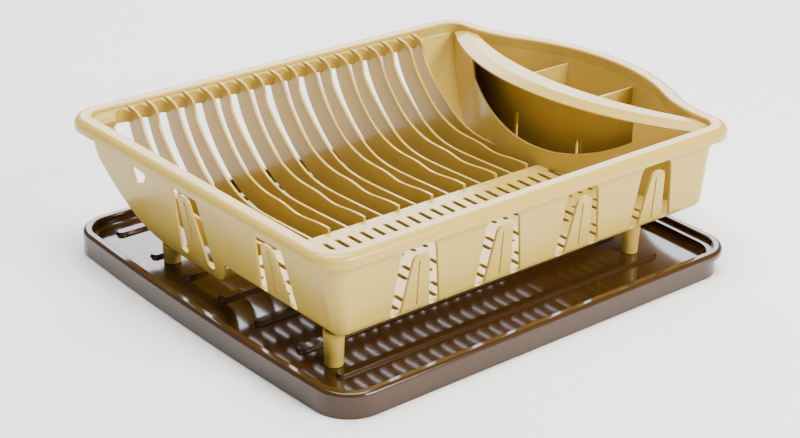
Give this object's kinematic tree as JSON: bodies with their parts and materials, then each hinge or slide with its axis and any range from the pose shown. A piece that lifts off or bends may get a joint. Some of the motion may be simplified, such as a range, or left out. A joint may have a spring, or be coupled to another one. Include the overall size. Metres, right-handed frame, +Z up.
{
  "type": "dish drying rack",
  "caption": "Plastic dish rack with plate ribs, slotted floor, mug hooks and a cutlery bay, standing on a shallow drip tray.",
  "frame": {"origin": "under the middle of the drip tray, on the plane that its lower edge stands on", "axes": "+X along the long front toward the cutlery bay, +Y from the mug-hook front to the back rim, +Z up"},
  "size_m": [0.5309, 0.426, 0.125],
  "materials": {
    "rack_plastic": "glossy cream injection-moulded polypropylene",
    "tray_plastic": "very glossy dark brown injection-moulded polypropylene"
  },
  "bodies": {
    "tray": {"drip_tray": "tray_plastic"},
    "rack": {"bay_wall": "rack_plastic", "bridge": "rack_plastic", "cutlery_divider_1": "rack_plastic", "cutlery_divider_2": "rack_plastic", "cutlery_wall": "rack_plastic", "drain_strip": "rack_plastic", "end_floor": "rack_plastic", "end_panel": "rack_plastic", "front_hook_1": "rack_plastic", "front_hook_2": "rack_plastic", "front_hook_3": "rack_plastic", "front_hook_4": "rack_plastic", "front_wall": "rack_plastic", "left_hook_1": "rack_plastic", "left_hook_2": "rack_plastic", "left_panel": "rack_plastic", "left_wall": "rack_plastic", "leg_1": "rack_plastic", "leg_2": "rack_plastic", "leg_3": "rack_plastic", "leg_4": "rack_plastic", "plate_rib_01": "rack_plastic", "plate_rib_02": "rack_plastic", "plate_rib_03": "rack_plastic", "plate_rib_04": "rack_plastic", "plate_rib_05": "rack_plastic", "plate_rib_06": "rack_plastic", "plate_rib_07": "rack_plastic", "plate_rib_08": "rack_plastic", "plate_rib_09": "rack_plastic", "plate_rib_10": "rack_plastic", "plate_rib_11": "rack_plastic", "plate_rib_12": "rack_plastic", "plate_rib_13": "rack_plastic", "plate_rib_14": "rack_plastic", "plate_rib_15": "rack_plastic", "plate_rib_16": "rack_plastic", "plate_rib_17": "rack_plastic", "plate_rib_18": "rack_plastic", "rib_header": "rack_plastic", "right_wall": "rack_plastic", "rim_back": "rack_plastic", "rim_front": "rack_plastic", "rim_left": "rack_plastic", "rim_right": "rack_plastic"}
  },
  "joints": [
    {"name": "rack_lift", "type": "slide", "parent": "tray", "child": "rack", "axis": [0, 0, 1], "range_m": [0, 0.15]}
  ]
}
